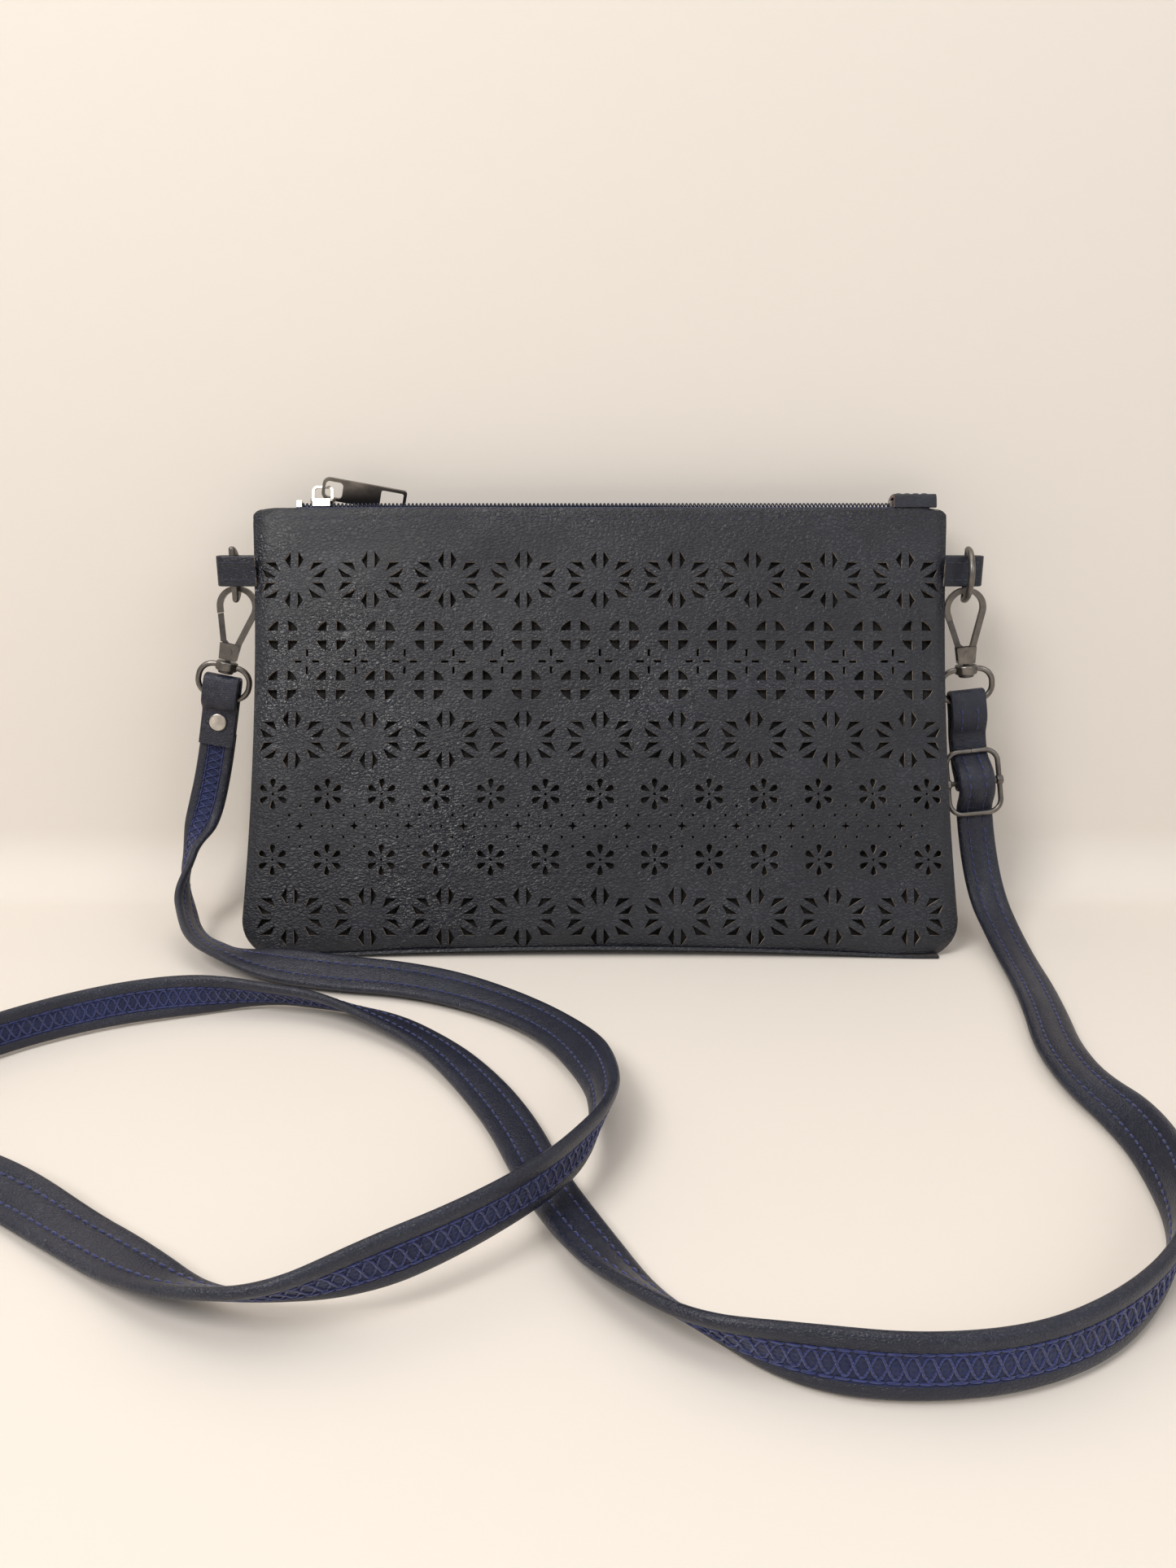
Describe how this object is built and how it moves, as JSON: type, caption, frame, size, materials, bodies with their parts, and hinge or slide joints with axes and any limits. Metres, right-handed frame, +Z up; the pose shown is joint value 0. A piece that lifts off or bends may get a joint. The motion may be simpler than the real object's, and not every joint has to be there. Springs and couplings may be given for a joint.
{
  "type": "crossbody purse",
  "caption": "Slim zipped purse with a cut-out leather front, side rings, and a flat shoulder strap clipped on with swivel hooks.",
  "frame": {"origin": "middle of the purse's footprint on the surface it stands on, measured without the strap", "axes": "+X to the viewer's right along the zip, +Y towards the back, +Z up"},
  "size_m": [0.3657, 0.2798, 0.1733],
  "materials": {
    "panel_leather": "crinkled, softly polished navy leather",
    "trim_leather": "smooth navy leather with raw edges",
    "strap_leather": "matt navy leather, turned edges, blue stitching",
    "backing_cloth": "close black felt",
    "lining_cloth": "plain woven lining",
    "zip_tape": "woven navy tape",
    "zip_coil": "dark nylon coil",
    "nickel": "bright nickel plate",
    "gunmetal": "dark gunmetal plate",
    "spring_steel": "bright spring steel"
  },
  "bodies": {
    "root": {"adjuster_fold": "strap_leather", "back_lining": "lining_cloth", "back_panel": "panel_leather", "buckle_bar": "gunmetal", "buckle_frame": "gunmetal", "front_backing": "backing_cloth", "front_lining": "lining_cloth", "front_panel": "panel_leather", "side_tab_left": "trim_leather", "side_tab_right": "trim_leather", "strap": "strap_leather", "strap_end_fold": "strap_leather", "strap_rivet": "nickel", "strap_weave": "strap_leather", "swivel_eye_left": "gunmetal", "swivel_eye_right": "gunmetal", "zip_end_tab": "trim_leather", "zip_stops": "nickel", "zipper_coil_back": "zip_coil", "zipper_coil_front": "zip_coil", "zipper_tape_back": "zip_tape", "zipper_tape_front": "zip_tape"},
    "ring_left": {"d_ring_left": "gunmetal"},
    "ring_right": {"d_ring_right": "gunmetal"},
    "hook_left": {"hook_frame_left": "gunmetal", "gate_rivet_left": "gunmetal", "gate_spring_left": "spring_steel", "swivel_stud_left": "gunmetal"},
    "hook_right": {"hook_frame_right": "gunmetal", "gate_rivet_right": "gunmetal", "gate_spring_right": "spring_steel", "swivel_stud_right": "gunmetal"},
    "gate_left": {"hook_gate_left": "gunmetal"},
    "gate_right": {"hook_gate_right": "gunmetal"},
    "zip_slider": {"zip_slider": "nickel"},
    "zip_pull": {"zip_pull": "gunmetal"}
  },
  "joints": [
    {"name": "ring_turn_left", "type": "hinge", "parent": "root", "child": "ring_left", "pos_m": [-0.1393, 0.01357, 0.13748], "axis": [0, 0, 1], "range_deg": [-15, 10]},
    {"name": "hook_swivel_left", "type": "hinge", "parent": "root", "child": "hook_left", "pos_m": [-0.14532, 0.01485, 0.10221], "axis": [0.2414, 0.0677, 0.9681], "range_deg": [-10, 20]},
    {"name": "gate_open_left", "type": "hinge", "parent": "hook_left", "child": "gate_left", "pos_m": [-0.14393, 0.01524, 0.1078], "axis": [-0.0164, 0.9977, -0.0657], "range_deg": [0, 25], "stiffness_Nm_per_rad": 0.01, "springref_deg": -17.19},
    {"name": "ring_turn_right", "type": "hinge", "parent": "root", "child": "ring_right", "pos_m": [0.1393, 0.01357, 0.13748], "axis": [0, 0, 1], "range_deg": [-15, 15]},
    {"name": "hook_swivel_right", "type": "hinge", "parent": "root", "child": "hook_right", "pos_m": [0.14152, 0.01067, 0.10159], "axis": [-0.1045, 0, 0.9945], "range_deg": [-20, 15]},
    {"name": "gate_open_right", "type": "hinge", "parent": "hook_right", "child": "gate_right", "pos_m": [0.14092, 0.01067, 0.10733], "axis": [0, 1, 0], "range_deg": [0, 25], "stiffness_Nm_per_rad": 0.01, "springref_deg": -17.19},
    {"name": "zip_slide", "type": "slide", "parent": "root", "child": "zip_slider", "axis": [1, 0, 0], "range_m": [0, 0.186]},
    {"name": "pull_swing", "type": "hinge", "parent": "zip_slider", "child": "zip_pull", "pos_m": [-0.1065, 0.02704, 0.1669], "axis": [0.2437, -0.3274, 0.9129], "range_deg": [0, 130]}
  ]
}
